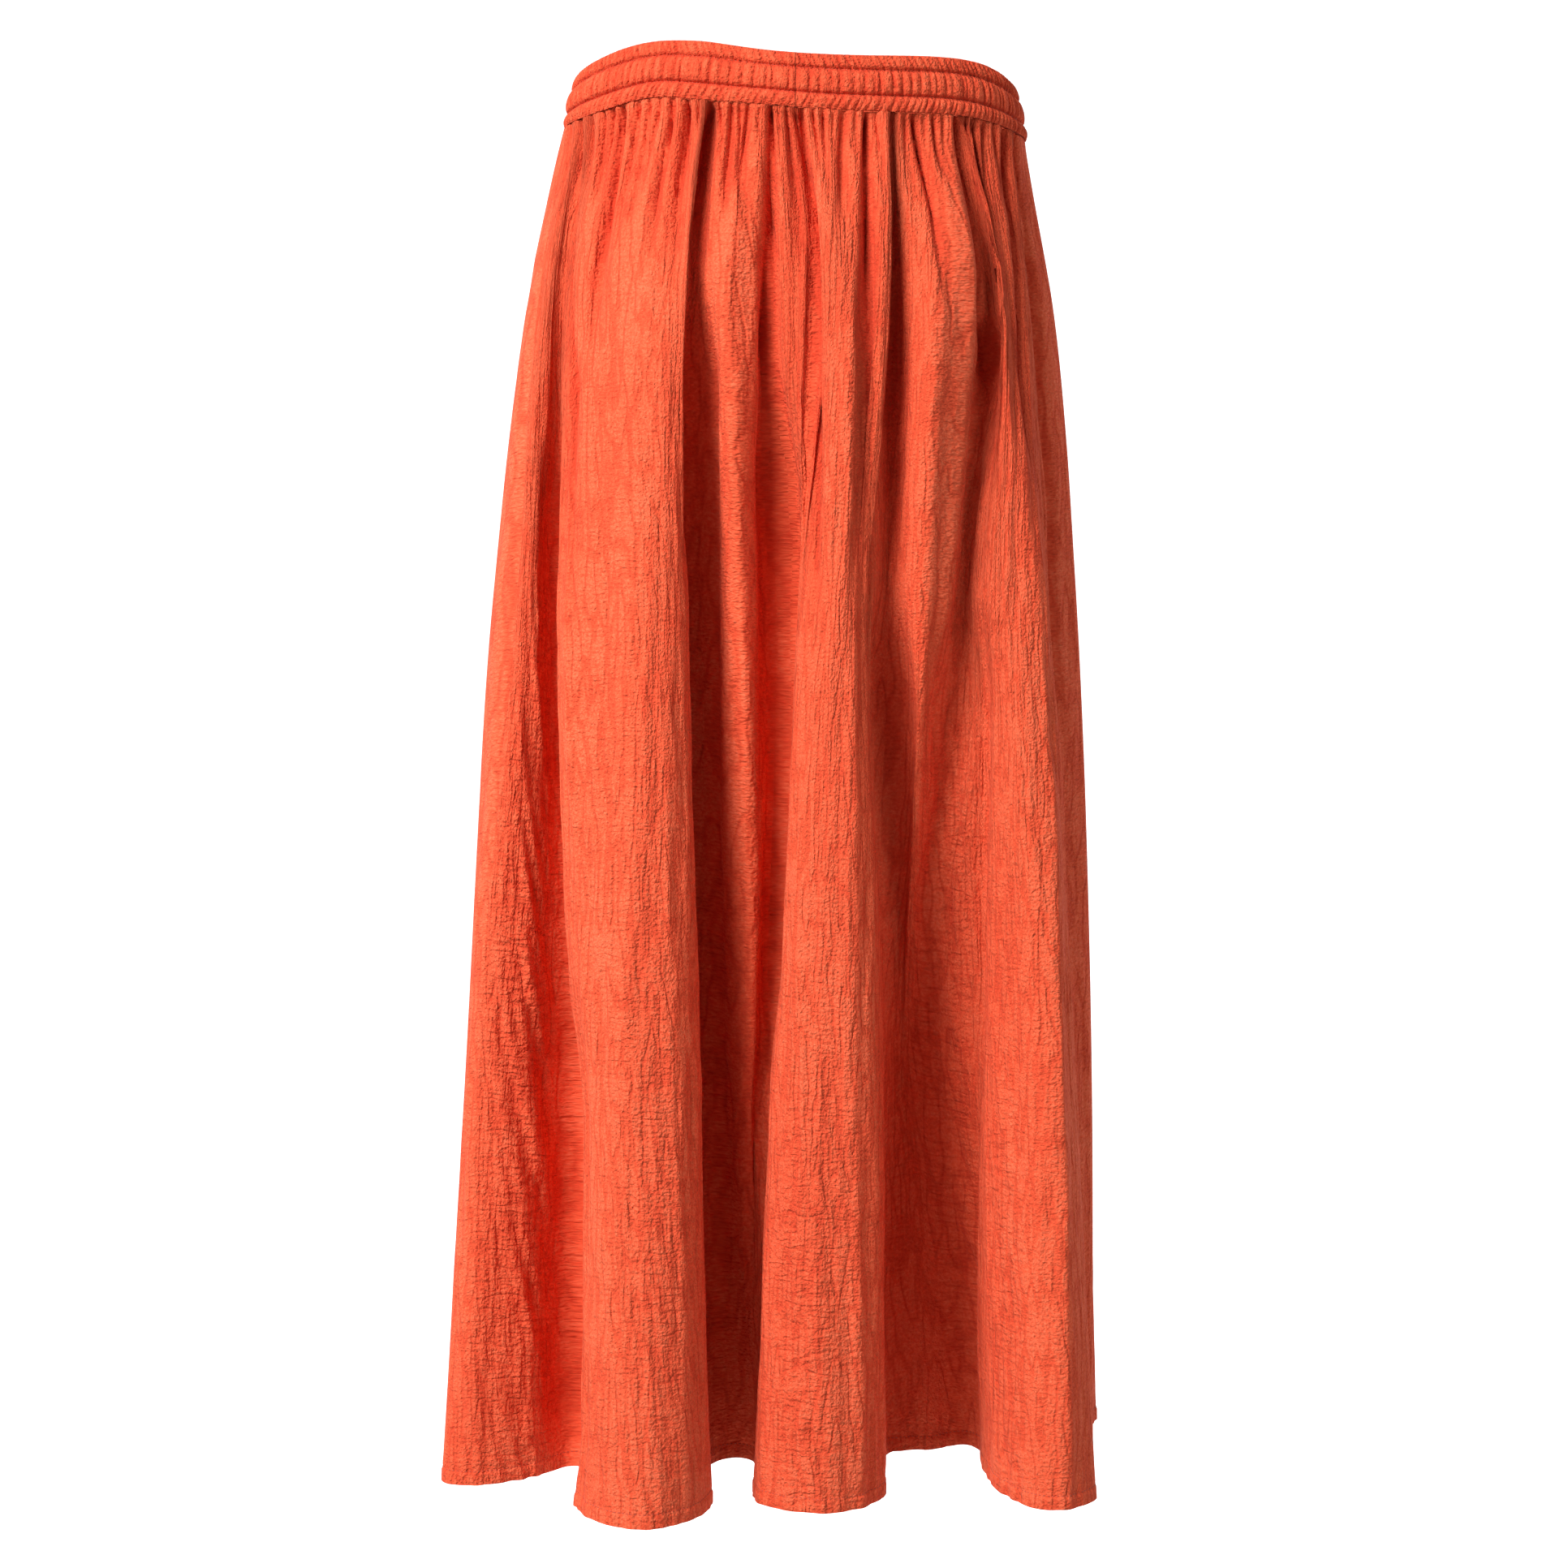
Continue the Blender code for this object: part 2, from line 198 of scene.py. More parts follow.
# gathers: x where each leaves the waist seam and where it ends, seen from the front, its depth, how far down
# it reaches, all mm, and the lean of its walls (above 1 the right wall is the gentler one)
gathers = {
    "front": (
        (-141, -146, 3.0, 60, 1.0), (-134.5, -137, 7.0, 330, 0.6), (-127, -131, 3.6, 50, 1.0),
        (-119, -125, 3.6, 70, 1.3), (-112.5, -122, 5.0, 60, 1.0), (-107, -124, 7.0, 150, 1.6),
        (-96.5, -110, 5.0, 90, 1.3), (-90, -101, 4.4, 80, 1.0), (-84, -94, 3.8, 60, 1.2),
        (-76, -90, 6.5, 110, 1.6), (-67, -75, 7.0, 110, 1.6), (-60, -66, 3.2, 45, 1.0),
        (-53, -66, 9.0, 300, 2.2), (-47.5, -47, 3.8, 45, 1.0), (-40.5, -45, 5.8, 80, 1.4),
        (-35, -34, 4.2, 55, 1.0), (-29.5, -30, 6.0, 70, 1.3), (-23, -23, 3.0, 35, 1.0),
        (-17, -16, 9.0, 420, 0.7), (-12, -10, 3.0, 40, 1.0), (-7, 2, 5.6, 110, 0.8),
        (0, 6, 4.2, 50, 0.9), (5, 11, 9.5, 330, 0.45), (11, 14, 5.0, 45, 0.8), (18, 17, 4.8, 50, 1.0),
        (24, 24, 3.0, 35, 1.0), (30, 29, 6.5, 80, 1.3), (37, 37, 3.2, 40, 1.0), (44, 39, 8.5, 330, 1.5),
        (50, 54, 3.4, 50, 1.0), (60, 59, 8.5, 300, 1.5), (67, 71, 3.6, 60, 1.0), (73, 91, 7.0, 130, 1.3),
        (79, 84, 3.0, 40, 1.0), (84, 93, 4.6, 50, 1.1), (91, 95, 3.2, 40, 1.0), (99, 116, 10.0, 240, 1.8),
        (105, 112, 3.6, 60, 1.0), (110, 129, 7.0, 130, 1.4), (117, 124, 4.4, 80, 1.0), (123, 130, 3.4, 60, 1.0),
        (131, 146, 7.0, 300, 0.8), (138, 143, 4.0, 90, 1.0),
    ),
    "backPitch": (3.4, 6.2),            # degrees between two gathers on the back
    "backDepth": (3.6, 8.5),
    "backReach": (50, 320),
    "backAngles": (94.0, 267),          # degrees round from the front where the back's gathers begin and end
    "backDrift": 5,                     # columns that a gather on the back may wander
    "backLean": (0.6, 1.7),
    "sharp": (1.7, 7.5),                # mm, half width of a groove at the seam and at its lower end
    "deepen": 1.6,                      # times all the depths above
    "deepest": 14,                      # mm, no groove goes further in
    "darkest": 9,                       # mm deep where the painted shade in a gather is at its darkest
    "shallowAtSeam": 0.35,              # share of the depth that is left at the seam itself
    "lift": (3.0, 60),                  # mm that the puffs between stand proud, and how far down it lasts
    "pushedOut": 1.6,                   # mm that the bunched cloth stands out at the seam itself
    "puffEnd": 5,                       # mm below the seam where the gathers stand full
}


def columnAt(x, drop):                  # the cloth's column that shows at x mm and drop mm from the front
    r = int(np.argmin(np.abs(drops - drop)))
    row = base[r, :skirt["columns"] + 1] / mm
    near = np.abs(row[:, 0] - x)
    close = near < near.min() + 1.5
    return float(np.argmin(np.where(close, row[:, 1], 1e6)))


def deepestAt(x, drop):                 # the column furthest back near x mm, where a valley has its floor
    row = base[int(np.argmin(np.abs(drops - drop))), :skirt["columns"] + 1] / mm
    return float(np.argmax(np.where(np.abs(row[:, 0] - x) < 10, row[:, 1], -1e6)))


def offLine(points):                    # signed mm round the ring from a line through (column, drop) points
    columns = np.interp(drops, [p[1] for p in points], [p[0] for p in points])
    centre = np.array([np.interp(c, np.arange(len(row)), row) for c, row in zip(columns, arcs)])[:, None]
    off = arcs - centre
    around = arcs[:, -1:]
    return (off + around / 2) % around - around / 2


def gatherRelief():
    rng = np.random.default_rng(11)
    lines = []
    for top, end, depth, reach, lean in gathers["front"]:
        start = columnAt(top, 0)
        finish = columnAt(end, reach)
        if reach < 60:
            middle = (start + finish) / 2
        else:
            middle = columnAt(0.35 * top + 0.65 * end, 0.5 * reach)
        lines.append(([(start, 0), (middle, 0.5 * reach), (finish, reach)], depth, reach, lean))
    angle, lastAngle = gathers["backAngles"]
    while angle < lastAngle:
        column = np.interp(angle, seamAngles, np.arange(len(seamAngles)))
        depth = rng.uniform(*gathers["backDepth"])
        low, high = gathers["backReach"]
        reach = low + (high - low) * (depth / gathers["backDepth"][1]) ** 2 * rng.uniform(0.6, 1)
        end = column + rng.uniform(-gathers["backDrift"], gathers["backDrift"])
        lines.append(([(column, 0), (end, reach)], depth, reach, rng.uniform(*gathers["backLean"])))
        angle += rng.uniform(*gathers["backPitch"])
    relief = np.zeros(base.shape[:2])
    down = drops[:, None]
    for points, depth, reach, lean in lines:
        off = offLine(points)
        share = np.clip(down / reach, 0, 1)
        wide = gathers["sharp"][0] + (gathers["sharp"][1] - gathers["sharp"][0]) * share * min(reach / 200, 1)
        wide = wide * np.where(off > 0, math.sqrt(lean), 1 / math.sqrt(lean))
        blunt = 0.2 + 2.2 * share ** 2
        groove = np.exp(-(np.sqrt(off ** 2 + blunt ** 2) - blunt) / wide)
        relief -= gathers["deepen"] * depth * (1 - share ** 1.5) * groove
    full = smooth(down / gathers["puffEnd"])
    relief *= gathers["shallowAtSeam"] + (1 - gathers["shallowAtSeam"]) * full
    facing = np.cos(np.radians(seamAngles)) ** 2        # 1 at the front and the back, 0 at the sides
    height, fade = gathers["lift"]
    lift = height * np.exp(-down / fade) * facing
    return np.maximum(relief, -gathers["deepest"]) + lift * full + gathers["pushedOut"] * (1 - full) * facing


# creases and soft ridges lower down, seen from the front, all in mm
creases = (
    # height, half width, where it runs as (x, drop)
    (2.2, 7, ((-158, 160), (-163, 240), (-168, 320), (-176, 400), (-182, 490))),    # on the left lobe
    (2.5, 5, ((-138, 200), (-139, 330), (-134, 420))),                              # wide flute's left shoulder
    (-5.0, 10, ((-137, 540), (-136, 640), (-136, 840))),                            # drawn in lower down
    (2.6, 11, ((-74, 130), (-78, 290), (-76, 410), (-73, 540), (-70, 660), (-66, 820))),    # and its right one
    (1.6, 10, ((-95, 180), (-97, 330), (-99, 480), (-106, 590))),                   # down the wide flute
    (-1.4, 9, ((-116, 140), (-115, 280), (-113, 400))),
    (3.5, 8, ((33, 150), (33, 290), (35, 420), (36, 560), (38, 700), (40, 830))),   # middle flute's right one
    (6.5, 9, ((141, 200), (148, 290), (155, 380), (157, 500), (159, 600), (162, 700), (166, 830))),
    (-12.0, 17, ((108, 330), (105, 450), (104, 560), (105, 700), (108, 830))),      # right flute's left slope
    (-5.0, 4, ((146, 66), (152, 136), (156, 186), (161, 236), (161, 286), (164, 336))),
    (-2.2, 9, ((-99, 640), (-94, 720), (-91, 800))),
    (2.2, 8, ((-36, 170), (-36, 290), (-27, 380), (-23, 500), (-24, 600))),         # between the flutes
    (-3.5, 3.5, ((-15, 140), (-13, 240), (-8, 300), (-10, 400), (-14, 500), (-18, 600))),
    (-3.0, 5, ((60, 140), (53, 230), (46, 310))),                                   # right of the middle flute
    (1.8, 6, ((47, 400), (48, 520), (50, 640), (52, 760))),
    (1.6, 14, ((84, 100), (82, 220), (76, 320))),                                   # in the broad valley
    (7.5, 12, ((98, 60), (103, 100), (101, 150), (97, 210), (92, 270), (87, 330))),     # its right shoulder
    (-5.0, 5.0, ((120, 110), (113, 160), (108, 215), (104, 270), (98, 340), (93, 410), (86, 490))),
    (-3.4, 5, ((87, 330), (91, 400), (93, 450), (86, 540), (79, 610))),
    (-2.6, 4, ((109, 380), (107, 480), (107, 600), (105, 700))),
    (-2.4, 3.5, ((150, 300), (155, 410), (158, 490), (160, 530))),                  # beside the right flute
    (1.8, 6, ((132, 190), (144, 280), (150, 370), (156, 500), (160, 620))),
)

# similar ones on the back, drawn by chance between these limits, in mm
backCreases = {
    "count": 16,
    "first": 1.04,                      # the place of the first, in panel widths, and the step to the next
    "apart": 0.062,
    "start": (110, 420),
    "length": (180, 380),
    "end": 800,
    "height": (1.6, 3.6),
    "halfWidth": (4, 9),
    "drift": 7,                         # columns
}

# floors of the deep valleys between the flutes, let further in: depth, half width, where they run
valleys = (
    (13, 16, ((-150, 230), (-147, 330), (-144, 450), (-141, 560), (-140, 700), (-140, 840))),
    (15, 15, ((-58, 150), (-60, 300), (-58, 420), (-57, 560), (-53, 700), (-50, 840))),
    (9, 8, ((-11, 200), (-7, 320), (-9, 450), (-14, 560), (-22, 700))),
    (15, 18, ((58, 330), (60, 440), (62, 560), (60, 700), (60, 840))),
)

# side walls of the flutes, drawn in under them: depth, half width, where their shoulders run
walls = (
    (12, 40, ((-137, 580), (-136, 680), (-136, 760), (-136, 840))),
    (6, 20, ((-1, 210), (-1, 300), (-5, 420), (-10, 540))),
)


def creaseRelief():
    relief = np.zeros(base.shape[:2])
    rng = np.random.default_rng(17)
    lines = []
    for height, wide, points in creases:
        lines.append((height, wide, [(columnAt(x, drop), drop) for x, drop in points]))
    for depth, wide, points in valleys:
        lines.append((-depth, wide, [(deepestAt(x, drop), drop) for x, drop in points]))
    for depth, wide, points in walls:
        halfway = [((deepestAt(x, drop) + columnAt(x, drop)) / 2, drop) for x, drop in points]
        lines.append((-depth, wide, halfway))
    drift = backCreases["drift"]
    for k in range(backCreases["count"]):
        column = skirt["columns"] * (backCreases["first"] + backCreases["apart"] * k)
        start = rng.uniform(*backCreases["start"])
        end = min(start + rng.uniform(*backCreases["length"]), backCreases["end"])
        height = rng.choice((-1, 1)) * rng.uniform(*backCreases["height"])
        steps = [(column + rng.uniform(-drift, drift), d) for d in np.linspace(start, end, 4)]
        lines.append((height, rng.uniform(*backCreases["halfWidth"]), steps))
    down = drops[:, None]
    for height, wide, points in lines:
        first, last = points[0][1], points[-1][1]
        fade = smooth((down - first + 50) / 80) * smooth((last + 60 - down) / 100)
        off = offLine(points)
        relief += height * fade * np.exp(-np.abs(off / wide) ** 1.5)
    return relief


# crinkles left by the gauze's two layers shrinking apart: mostly upright, finer ones are in the material
crinkles = (
    # seed, mm across, mm down, height in mm
    (24, 5, 60, 0.75),
    (21, 9, 110, 0.40),
    (22, 15, 170, 0.42),
    (23, 27, 240, 0.55),
)

# stronger ones where the cloth is puckered, leaning across the yarns
leaning = (
    # seed, lean, mm across, mm down, height in mm
    (25, -0.30, 6.5, 80, 3.0),
    (26, -0.24, 11, 90, 2.4),
    (27, -0.2, 12, 7, 0.8),
)

# where the cloth is puckered both ways, seen from the front
puckers = (
    # x mm, drop mm, half width mm, half height mm, how much from 0 to 1
    (-166, 640, 30, 330, 1.0),
    (-156, 380, 16, 160, 0.8),
    (-80, 720, 24, 190, 0.6),
    (8, 740, 36, 200, 0.65),
    (92, 600, 20, 250, 0.8),
    (130, 730, 32, 190, 0.6),
    (-190, 760, 26, 120, 0.5),
)

# similar places on the back
backPuckers = {
    "count": 8,
    "first": 1.06,                      # the place of the first, in panel widths, and the step to the next
    "apart": 0.125,
    "drop": (480, 760),
    "halfWidth": (15, 36),
    "halfHeight": (120, 280),
    "howMuch": (0.4, 1),
}


def puckerMarks():                      # how strongly the cloth is puckered at each point, up to 1
    across = np.broadcast_to(clothAcross[None, :], base.shape[:2])
    down = np.broadcast_to(drops[:, None], base.shape[:2])
    spots = [(columnAt(x, drop), drop, wide, tall, much) for x, drop, wide, tall, much in puckers]
    rng = np.random.default_rng(29)
    for k in range(backPuckers["count"]):
        column = skirt["columns"] * (backPuckers["first"] + backPuckers["apart"] * k)
        sizes = [rng.uniform(*backPuckers[key]) for key in ("drop", "halfWidth", "halfHeight", "howMuch")]
        spots.append((column, *sizes))
    marks = 0.2 + 0.14 * softNoise(41, across / 90, down / 160)
    marks = marks + 0.12 * smooth((down - 350) / 300)
    for column, drop, wide, tall, much in spots:
        off = offLine([(column, drop)])
        marks = np.maximum(marks, much * np.exp(-(off / wide) ** 2 - ((down - drop) / tall) ** 4))
    return np.clip(marks, 0.08, 1)


def crinkleRelief():
    across = np.broadcast_to(clothAcross[None, :], base.shape[:2])
    down = np.broadcast_to(drops[:, None], base.shape[:2])
    relief = np.zeros(base.shape[:2])
    for seed, wide, tall, height in crinkles:
        sway = 0.6 * softNoise(seed + 50, across / (4 * wide), down / (0.5 * tall))
        relief += height * softNoise(seed, across / wide + sway, down / tall)
    relief *= 0.55 + 0.45 * smooth(down / 200)
    for seed, lean, wide, tall, height in leaning:
        pattern = softNoise(seed, (across + lean * down) / wide, (down - lean * across) / tall)
        relief += height * marks ** 2 * pattern
    fromSeam = np.minimum(np.abs(offLine([(0, 0)])), np.abs(offLine([(skirt["columns"] + 0.5, 0)])))
    return relief * smooth(fromSeam / 12)       # the side seams hold the cloth flat


marks = puckerMarks()


# hem: turned up once and stitched, so its last 8.5 mm are thicker, all in mm
hem = {
    "turnUp": 8.5,
    "thicker": 0.55,
    "stitchSink": 0.8,                  # how deep the stitches pull the cloth in
    "pucker": 0.35,                     # ripples that the stitches draw up beside them
}


def hemRelief():
    above = (drops[-1] - drops)[:, None]
    across = clothAcross[None, :]
    turned = hem["thicker"] * smooth((hem["turnUp"] + 1.2 - above) / 1.6)
    sunk = hem["stitchSink"] * np.exp(-((above - hem["turnUp"]) / 0.9) ** 2)
    ripples = softNoise(31, across / 5, above / 12) * np.exp(-((above - hem["turnUp"]) / 7) ** 2)
    return turned - sunk + hem["pucker"] * ripples


# the waist rides up at the front left and sinks to the right, mm by seam angle in degrees
waistWave = {
    "angle": (-90, -80, -70, -60, -51, -44, -38, -33, -24, -15, -7, 1, 9, 18, 27, 38, 48, 58, 66, 75, 90,
              130, 180, 230, 270),
    "top": (-7, -5.4, -2.6, 0.6, 3.7, 5.6, 6.4, 6.1, 4.6, 0.8, -2.0, -3.6, -4.4, -4.5, -3.8, -2.9, -2.8, -4.2,
            -7.0, -10.5, -13, -7, -1, -1, -7),
    "seam": (-3, -2.4, -1.4, 0.0, 2.4, 4.8, 6.3, 6.3, 3.4, 1.1, -0.3, -2.3, -3.5, -3.8, -3.9, -3.3, -3.9, -6.0,
             -7.8, -9.3, -10.5, -6, -1, -1, -3),
    "fade": 150,
}


def waistRise(angles, height):          # height is 0 at the seam and 1 at the top edge
    low = np.interp(angles, waistWave["angle"], waistWave["seam"])
    high = np.interp(angles, waistWave["angle"], waistWave["top"])
    return softened((low + (high - low) * height)[:, None], len(angles) / 150)[:, 0]


def worn():
    gathered = gatherRelief()
    relief = gathered + creaseRelief() + crinkleRelief() + hemRelief()
    shape = base + normals * (relief * mm)[..., None]
    fade = 1 - smooth(drops / waistWave["fade"])
    shape[..., 2] += waistRise(seamAngles, 0)[None, :] * fade[:, None] * mm
    # the panels meet at the side seams
    for last, first in ((skirt["columns"], skirt["columns"] + 1), (-1, 0)):
        shape[:, last] = (shape[:, last] + shape[:, first]) / 2
        shape[:, first] = shape[:, last]
    return shape, np.clip(-gathered / gathers["darkest"], 0, 1)


cloth, paintedCreaseShade = worn()                 # 1 deep in a gather: painted shade that darkens the colour there
clothNormals = outwardOf(cloth, closed=True)
print("gathers, crinkles and hem in place")


# materials
def hexColor(code):                     # sRGB hex to linear
    parts = [int(code[i:i + 2], 16) / 255 for i in (1, 3, 5)]
    return [c / 12.92 if c <= 0.04045 else ((c + 0.055) / 1.055) ** 2.4 for c in parts] + [1]


def addNode(tree, kind, inputs, **settings):
    node = tree.nodes.new(kind)
    for key, value in settings.items():
        setattr(node, key, value)
    for key, value in inputs.items():
        if isinstance(value, bpy.types.Node):
            value = value.outputs[0]
        if isinstance(value, bpy.types.NodeSocket):
            tree.links.new(value, node.inputs[key])
        else:
            node.inputs[key].default_value = value
    return node


def newMaterial(name):
    material = bpy.data.materials.new(name)
    material.use_nodes = True
    material.node_tree.nodes.clear()
    return material


# double gauze: two open plain weaves of soft cotton, piece dyed, washed so that it crinkles.
# Dull and fuzzy, broken up by thin creases that run with the yarns both ways, never a shine
gauzeLook = {
    "color": "#E05636",
    # dark end of the colour ramp, reached by dye specks and by painted shade in creases and gathers
    "deep": "#C93F26",
    "pale": "#E96C4A",
    "roughness": 0.95,
    "sheen": 0.06,
    "sheenTint": "#FF9E78",
    "specular": 0.15,
    "creaseWidth": 0.09,                # of the thin lines, as a share of the pattern's swing
}


def doubleGauze(name, upright, level, puff):    # mm deep: creases down, creases across, puffs between
    material = newMaterial(name)
    tree = material.node_tree
    place = addNode(tree, "ShaderNodeUVMap", {}, uv_map="cloth")
    apart = addNode(tree, "ShaderNodeSeparateXYZ", {0: place})
    puckered = addNode(tree, "ShaderNodeAttribute", {}, attribute_name="puckered").outputs["Fac"]
    # painted shade: the colour darkens deep in the gathers and in the band's grooves and stitch lines
    creaseShadeMask = addNode(tree, "ShaderNodeAttribute", {}, attribute_name="paintedCreaseShade").outputs["Fac"]

    def unevenness(wide, tall, detail=2.0, rough=0.5):      # its lumps are wide by tall mm of cloth
        across = addNode(tree, "ShaderNodeMath", {0: apart.outputs[0], 1: 1000 / wide}, operation="MULTIPLY")
        down = addNode(tree, "ShaderNodeMath", {0: apart.outputs[1], 1: 1000 / tall}, operation="MULTIPLY")
        spot = addNode(tree, "ShaderNodeCombineXYZ", {0: across, 1: down})
        return addNode(tree, "ShaderNodeTexNoise",
                       {"Vector": spot, "Scale": 1.0, "Detail": detail, "Roughness": rough})

    def creaseLines(pattern):           # 0 along thin wandering lines, 1 between them
        centred = addNode(tree, "ShaderNodeMath", {0: pattern, 1: 0.5}, operation="SUBTRACT")
        away = addNode(tree, "ShaderNodeMath", {0: centred}, operation="ABSOLUTE")
        return addNode(tree, "ShaderNodeMapRange", {"Value": away, "From Max": gauzeLook["creaseWidth"]},
                       interpolation_type="SMOOTHSTEP")

    upLines = creaseLines(unevenness(8, 45, 1.0))           # creases 3 to 6 mm apart, a few cm long
    levelLines = creaseLines(unevenness(26, 7, 1.0))
    layers = (
        # pattern, mm high, whether it shows only where the cloth is puckered
        (unevenness(4.6, 34), 4.8 * upright, False),
        (unevenness(2.0, 2.0, 1.0, 0.7), 1.7, False),       # yarns, 0.4 mm apart, drawn at 2 mm to show
        (upLines, upright, False),
        (unevenness(24, 4.6), 3.6 * level, True),
        (levelLines, level, True),
        (unevenness(4.4, 3.8, 2.0, 0.6), puff, True),
    )
    height = 0.0
    for pattern, high, onlyPuckered in layers:
        if onlyPuckered:
            pattern = addNode(tree, "ShaderNodeMath", {0: pattern, 1: puckered}, operation="MULTIPLY")
        height = addNode(tree, "ShaderNodeMath", {0: pattern, 1: high * mm, 2: height},
                         operation="MULTIPLY_ADD")
    bump = addNode(tree, "ShaderNodeBump", {"Strength": 1.0, "Distance": 1.0, "Height": height})

    # painted shade: the colour is darker along the thin crinkle lines, the level ones only where the cloth is
    # puckered
    calm = addNode(tree, "ShaderNodeMath", {0: 1.0, 1: puckered}, operation="SUBTRACT")
    levelShade = addNode(tree, "ShaderNodeMath", {0: levelLines, 1: puckered, 2: calm},
                         operation="MULTIPLY_ADD")
    dyeAndPaintedShade = (
        # pattern, how much it pales the colour: specks and clouds of uneven dye, then painted shade along the
        # crinkle lines and deep in the gathers
        (unevenness(1.5, 1.9, 2.0, 0.6), 0.5),
        (unevenness(60, 150), 0.2),
        (upLines, 0.14),
        (levelShade, 0.14),
        (creaseShadeMask, -0.3),
    )
    shade = -0.04
    for pattern, paler in dyeAndPaintedShade:
        shade = addNode(tree, "ShaderNodeMath", {0: pattern, 1: paler, 2: shade}, operation="MULTIPLY_ADD")
    colors = addNode(tree, "ShaderNodeValToRGB", {"Fac": shade})
    colors.color_ramp.elements[0].position = 0.3
    colors.color_ramp.elements[0].color = hexColor(gauzeLook["deep"])
    colors.color_ramp.elements[1].position = 0.70
    colors.color_ramp.elements[1].color = hexColor(gauzeLook["pale"])
    colors.color_ramp.elements.new(0.54).color = hexColor(gauzeLook["color"])

    shader = addNode(tree, "ShaderNodeBsdfPrincipled", {
        "Base Color": colors,
        "Roughness": gauzeLook["roughness"],
        "Normal": bump,
        "Sheen Weight": gauzeLook["sheen"],
        "Sheen Roughness": 0.6,
        "Sheen Tint": hexColor(gauzeLook["sheenTint"]),
        "Specular IOR Level": gauzeLook["specular"],
    })
    addNode(tree, "ShaderNodeOutputMaterial", {"Surface": shader})
    return material


skirtGauze = doubleGauze("double_gauze_crinkled", 0.5, 0.6, 1.4)
bandGauze = doubleGauze("double_gauze_gathered", 0.2, 0.1, 0.3)


# spun polyester thread dyed to match: a little smoother and darker than the cloth, uneven by its twist
sewing = {
    "deep": "#9E2F18",
    "pale": "#CC4E30",
    "roughness": 0.6,
    "hemStitch": (2.8, 1.9, 0.34),      # pitch, length and half thickness in mm
    "bandStitch": (2.4, 1.7, 0.2),
}


def threadMaterial():
    material = newMaterial("spun_polyester_thread")
    tree = material.node_tree
    place = addNode(tree, "ShaderNodeTexCoord", {}).outputs["Object"]
    twist = addNode(tree, "ShaderNodeTexNoise", {"Vector": place, "Scale": 1500.0, "Detail": 1.0})
    colors = addNode(tree, "ShaderNodeValToRGB", {"Fac": twist})
    colors.color_ramp.elements[0].color = hexColor(sewing["deep"])
    colors.color_ramp.elements[1].color = hexColor(sewing["pale"])
    shader = addNode(tree, "ShaderNodeBsdfPrincipled",
                     {"Base Color": colors, "Roughness": sewing["roughness"]})
    addNode(tree, "ShaderNodeOutputMaterial", {"Surface": shader})
    return material


thread = threadMaterial()


# meshes
def meshPiece(name, points, faces, material, uv=None, shading=None, sharpAngle=65):
    mesh = bpy.data.meshes.new(name)
    mesh.from_pydata(points.tolist(), [], faces)
    mesh.shade_smooth()
    mesh.set_sharp_from_angle(angle=math.radians(sharpAngle))
    if uv is not None:
        layer = mesh.uv_layers.new(name="cloth")
        corners = np.zeros(len(mesh.loops), int)
        mesh.loops.foreach_get("vertex_index", corners)
        layer.data.foreach_set("uv", uv[corners].astype(np.float32).ravel())
    for attribute, values in (shading or {}).items():
        layer = mesh.attributes.new(attribute, "FLOAT", "POINT")
        layer.data.foreach_set("value", values.astype(np.float32))
    mesh.materials.append(material)
    piece = bpy.data.objects.new(name, mesh)
    bpy.context.scene.collection.objects.link(piece)
    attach(piece, "root")
    return piece


def panelPiece(name, columns, material):        # its inner face has every third row and second column
    outer = cloth[:, columns]
    inner = (outer - clothNormals[:, columns] * skirt["cloth"] * mm)[::3, ::2]
    steps = np.linalg.norm(np.diff(base[:, columns], axis=0), axis=2)
    length = np.concatenate([np.zeros((1, outer.shape[1])), np.cumsum(steps, axis=0)])
    uv = np.stack([np.broadcast_to(clothAcross[columns] * mm, length.shape), length], axis=2)
    rows, wide = outer.shape[:2]
    inWide = inner.shape[1]
    first = rows * wide
    faces = []
    for r in range(rows - 1):
        a = r * wide
        faces += [(a + c, a + wide + c, a + wide + c + 1, a + c + 1) for c in range(wide - 1)]
    for r in range(inner.shape[0] - 1):
        a = first + r * inWide
        faces += [(a + c, a + c + 1, a + inWide + c + 1, a + inWide + c) for c in range(inWide - 1)]
    for c in range(inWide - 1):         # waist edge and hem edge
        top = 2 * c
        low = (rows - 1) * wide + top
        last = first + (inner.shape[0] - 1) * inWide + c
        faces.append((top, top + 1, top + 2, first + c + 1, first + c))
        faces.append((low + 2, low + 1, low, last, last + 1))
    for r in range(inner.shape[0] - 1):     # side seams
        a = 3 * r * wide
        b = first + r * inWide
        faces.append((a + 3 * wide, a + 2 * wide, a + wide, a, b, b + inWide))
        a += wide - 1
        b += inWide - 1
        faces.append((a, a + wide, a + 2 * wide, a + 3 * wide, b + inWide, b))
    points = np.concatenate([outer.reshape(-1, 3), inner.reshape(-1, 3)])
    uvs = np.concatenate([uv.reshape(-1, 2), uv[::3, ::2].reshape(-1, 2)])
    shading = {}
    for attribute, values in (("puckered", marks[:, columns]), ("paintedCreaseShade", paintedCreaseShade[:, columns])):
        shading[attribute] = np.concatenate([values.ravel(), values[::3, ::2].ravel()])
    return meshPiece(name, points, faces, material, uvs, shading)


count = skirt["columns"] + 1
frontPanel = panelPiece("front_panel_cloth", slice(0, count), skirtGauze)
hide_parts("front_panel")
backPanel = panelPiece("back_panel_cloth", slice(count, 2 * count), skirtGauze)
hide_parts("back_panel")
print("panels built")


